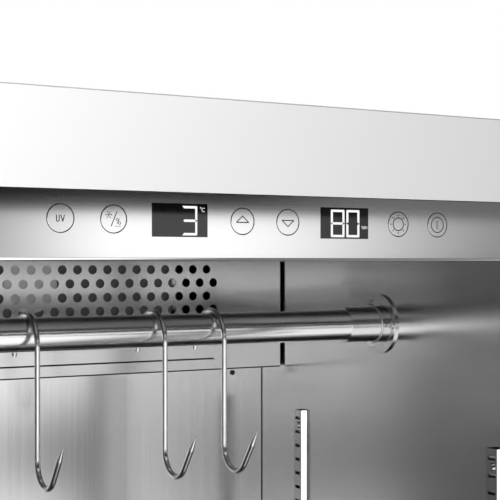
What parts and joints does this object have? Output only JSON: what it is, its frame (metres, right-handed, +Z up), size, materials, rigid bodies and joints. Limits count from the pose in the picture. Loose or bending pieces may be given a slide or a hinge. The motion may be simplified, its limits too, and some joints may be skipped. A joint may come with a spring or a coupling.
{
  "type": "dry aging cabinet",
  "caption": "Insulated stainless cabinet with a glazed hinged door, control panel, perforated fan cover, hanging rail with hooks, shelves, salt tray and machine room.",
  "frame": {"origin": "on the floor, at the centre of the four feet", "axes": "+Z up, -Y towards someone who stands at the front, +X to that person's right; the door is hinged on the right and stands wide open, turned by 180 degrees"},
  "size_m": [1.166, 0.6303, 1.27],
  "materials": {
    "casing": "satin",
    "back_sheet": "satin",
    "foam": "matte",
    "liner_steel": "satin",
    "frame_steel": "satin",
    "panel_steel": "satin",
    "board": "satin",
    "key_steel": "satin",
    "display_black": "gloss",
    "cover_steel": "satin",
    "wall_steel": "satin",
    "standoff_steel": "satin",
    "screw_black": "satin",
    "screw_steel": "satin",
    "fan_black": "satin",
    "wheel_black": "satin",
    "coil_aluminium": "satin",
    "condenser_black": "matte",
    "flange_steel": "polished",
    "rail_steel": "polished",
    "hook_steel": "polished",
    "strip_steel": "satin",
    "shelf_steel": "satin",
    "tray_steel": "satin",
    "led_aluminium": "satin",
    "opal_lens": "satin",
    "lamp_glass": "gloss",
    "holder_white": "satin",
    "probe_white": "satin",
    "base_zinc": "satin",
    "foot_black": "matte",
    "compressor_black": "satin",
    "pan_plastic": "satin",
    "grille_steel": "satin",
    "inlet_black": "satin",
    "door_steel": "satin",
    "door_glass": "gloss",
    "spacer_aluminium": "satin",
    "trim_grey": "satin",
    "gasket_grey": "matte",
    "handle_steel": "satin",
    "hinge_steel": "satin",
    "bush_white": "satin"
  },
  "bodies": {
    "cabinet": {"outer_casing": "casing", "back_panel": "back_sheet", "rear_grille": "back_sheet", "insulation_foam": "foam", "inner_liner": "liner_steel", "front_frame": "frame_steel", "control_panel": "panel_steel", "control_board": "board", "display_temperature": "display_black", "display_humidity": "display_black", "fan_cover": "cover_steel", "rear_wall_panel": "wall_steel", "panel_standoffs": "standoff_steel", "rear_panel_screws": "screw_black", "wall_screws": "screw_steel", "evaporator_fan_housing": "fan_black", "condenser_fan_housing": "fan_black", "evaporator_coil": "coil_aluminium", "condenser": "condenser_black", "rail_flanges": "flange_steel", "hanging_rail": "rail_steel", "shelf_strips": "strip_steel", "shelf_clips": "strip_steel", "led_bar": "led_aluminium", "led_lens": "opal_lens", "uv_lamp": "lamp_glass", "lamp_holders": "holder_white", "air_probe": "probe_white", "base_tray": "base_zinc", "compressor": "compressor_black", "drain_pan": "pan_plastic", "kick_grille": "grille_steel", "power_inlet": "inlet_black", "door_hinges": "hinge_steel"},
    "door": {"door_frame": "door_steel", "door_glass_outer": "door_glass", "glass_spacer": "spacer_aluminium", "door_glass_inner": "door_glass", "door_trim": "trim_grey", "door_gasket": "gasket_grey", "door_handle": "handle_steel", "hinge_bushes": "bush_white"},
    "uv_key": {"uv_key": "key_steel"},
    "mode_key": {"mode_key": "key_steel"},
    "up_key": {"up_key": "key_steel"},
    "down_key": {"down_key": "key_steel"},
    "light_key": {"light_key": "key_steel"},
    "power_key": {"power_key": "key_steel"},
    "hook_1": {"hook_1": "hook_steel"},
    "hook_2": {"hook_2": "hook_steel"},
    "hook_3": {"hook_3": "hook_steel"},
    "shelf_upper": {"shelf_upper": "shelf_steel"},
    "shelf_lower": {"shelf_lower": "shelf_steel"},
    "salt_tray": {"salt_tray": "tray_steel"},
    "evaporator_fan_rotor": {"evaporator_fan_rotor": "wheel_black"},
    "condenser_fan_rotor": {"condenser_fan_rotor": "wheel_black"},
    "foot_front_left": {"foot_front_left": "foot_black"},
    "foot_front_right": {"foot_front_right": "foot_black"},
    "foot_rear_left": {"foot_rear_left": "foot_black"},
    "foot_rear_right": {"foot_rear_right": "foot_black"}
  },
  "joints": [
    {"name": "door_hinge", "type": "hinge", "parent": "cabinet", "child": "door", "pos_m": [0.2855, -0.3143, 0.715], "axis": [0, 0, 1], "range_deg": [-180, 0]},
    {"name": "uv_key_press", "type": "slide", "parent": "cabinet", "child": "uv_key", "axis": [0, 1, 0], "range_m": [0, 0.0008], "stiffness_N_per_m": 600},
    {"name": "mode_key_press", "type": "slide", "parent": "cabinet", "child": "mode_key", "axis": [0, 1, 0], "range_m": [0, 0.0008], "stiffness_N_per_m": 600},
    {"name": "up_key_press", "type": "slide", "parent": "cabinet", "child": "up_key", "axis": [0, 1, 0], "range_m": [0, 0.0008], "stiffness_N_per_m": 600},
    {"name": "down_key_press", "type": "slide", "parent": "cabinet", "child": "down_key", "axis": [0, 1, 0], "range_m": [0, 0.0008], "stiffness_N_per_m": 600},
    {"name": "light_key_press", "type": "slide", "parent": "cabinet", "child": "light_key", "axis": [0, 1, 0], "range_m": [0, 0.0008], "stiffness_N_per_m": 600},
    {"name": "power_key_press", "type": "slide", "parent": "cabinet", "child": "power_key", "axis": [0, 1, 0], "range_m": [0, 0.0008], "stiffness_N_per_m": 600},
    {"name": "hook_1_swing", "type": "hinge", "parent": "cabinet", "child": "hook_1", "pos_m": [-0.0588, -0.0435, 1.1193], "axis": [1, 0, 0], "range_deg": [-30, 30]},
    {"name": "hook_2_swing", "type": "hinge", "parent": "cabinet", "child": "hook_2", "pos_m": [0.04, -0.0435, 1.1193], "axis": [1, 0, 0], "range_deg": [-30, 30]},
    {"name": "hook_3_swing", "type": "hinge", "parent": "cabinet", "child": "hook_3", "pos_m": [0.0898, -0.0435, 1.1193], "axis": [1, 0, 0], "range_deg": [-30, 30]},
    {"name": "shelf_upper_slide", "type": "slide", "parent": "cabinet", "child": "shelf_upper", "axis": [0, -1, 0], "range_m": [0, 0.3]},
    {"name": "shelf_lower_slide", "type": "slide", "parent": "cabinet", "child": "shelf_lower", "axis": [0, -1, 0], "range_m": [0, 0.3]},
    {"name": "salt_tray_slide", "type": "slide", "parent": "cabinet", "child": "salt_tray", "axis": [0, -1, 0], "range_m": [0, 0.3]},
    {"name": "evaporator_fan_spin", "type": "hinge", "parent": "cabinet", "child": "evaporator_fan_rotor", "pos_m": [0, 0.1391, 1.1535], "axis": [0, 1, 0], "continuous": true},
    {"name": "condenser_fan_spin", "type": "hinge", "parent": "cabinet", "child": "condenser_fan_rotor", "pos_m": [-0.095, -0.2155, 0.0815], "axis": [0, 1, 0], "continuous": true},
    {"name": "foot_front_left_turn", "type": "hinge", "parent": "cabinet", "child": "foot_front_left", "pos_m": [-0.2525, -0.235, 0.02], "axis": [0, 0, 1], "continuous": true},
    {"name": "foot_front_right_turn", "type": "hinge", "parent": "cabinet", "child": "foot_front_right", "pos_m": [0.2525, -0.235, 0.02], "axis": [0, 0, 1], "continuous": true},
    {"name": "foot_rear_left_turn", "type": "hinge", "parent": "cabinet", "child": "foot_rear_left", "pos_m": [-0.2525, 0.235, 0.02], "axis": [0, 0, 1], "continuous": true},
    {"name": "foot_rear_right_turn", "type": "hinge", "parent": "cabinet", "child": "foot_rear_right", "pos_m": [0.2525, 0.235, 0.02], "axis": [0, 0, 1], "continuous": true}
  ]
}
